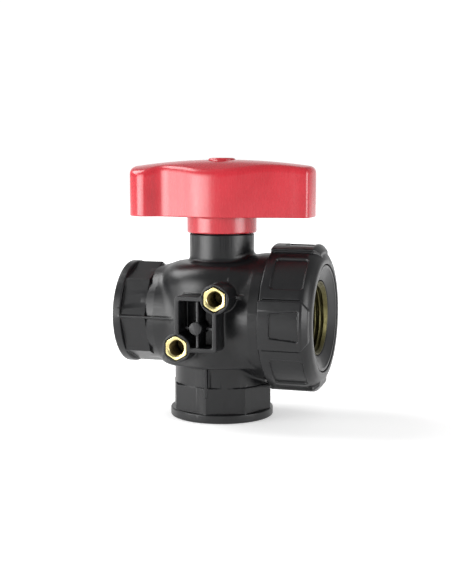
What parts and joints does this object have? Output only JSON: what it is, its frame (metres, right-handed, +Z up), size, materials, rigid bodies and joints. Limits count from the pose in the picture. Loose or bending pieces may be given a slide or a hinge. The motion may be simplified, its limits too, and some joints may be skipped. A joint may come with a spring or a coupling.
{
  "type": "three-way ball valve",
  "caption": "Three-way plastic ball valve: female ports at the left and underneath, a union nut at the right, a wing handle on top and brass threaded inserts in front.",
  "frame": {"origin": "the middle of the valve's footprint, in the plane of the bottom port's face", "axes": "+X along the side ports towards the union nut, +Z up the stem to the handle, -Y out of the front, where the brass inserts are"},
  "size_m": [0.0988, 0.0744, 0.1246],
  "materials": {
    "black_plastic": "satin glass-filled moulding",
    "red_plastic": "satin gloss moulding",
    "brass": "bright turned brass",
    "steel": "plain stainless steel",
    "white_plastic": "smooth low-friction plastic",
    "rubber": "matt rubber"
  },
  "bodies": {
    "housing": {"valve_body": "black_plastic", "mounting_insert_upper": "brass", "mounting_insert_lower": "brass", "seat_left": "white_plastic", "seat_left_o_ring": "rubber", "seat_right": "white_plastic", "seat_right_o_ring": "rubber", "seat_bottom": "white_plastic", "seat_bottom_o_ring": "rubber"},
    "rotor": {"handle": "red_plastic", "handle_screw": "steel", "handle_washer": "steel", "handle_cap": "red_plastic", "stem": "brass", "stem_thrust_washer": "white_plastic", "stem_o_ring_lower": "rubber", "stem_o_ring_upper": "rubber", "ball": "white_plastic"},
    "connector": {"end_connector": "black_plastic", "connector_o_ring": "rubber", "brass_thread_sleeve": "brass"},
    "nut": {"union_nut": "black_plastic"}
  },
  "joints": [
    {"name": "handle_turn", "type": "hinge", "parent": "housing", "child": "rotor", "pos_m": [-0.00225, 0.0022, 0.1092], "axis": [0, 0, 1], "range_deg": [0, 180]},
    {"name": "connector_draw", "type": "slide", "parent": "housing", "child": "connector", "axis": [1, 0, 0], "range_m": [0, 0.009]},
    {"name": "nut_turn", "type": "hinge", "parent": "connector", "child": "nut", "pos_m": [0.03775, 0.0022, 0.0492], "axis": [1, 0, 0], "range_deg": [0, 1080]}
  ],
  "couplings": [
    {"joint": "connector_draw", "follows": "nut_turn", "m_per_rad": 0.00047746}
  ]
}
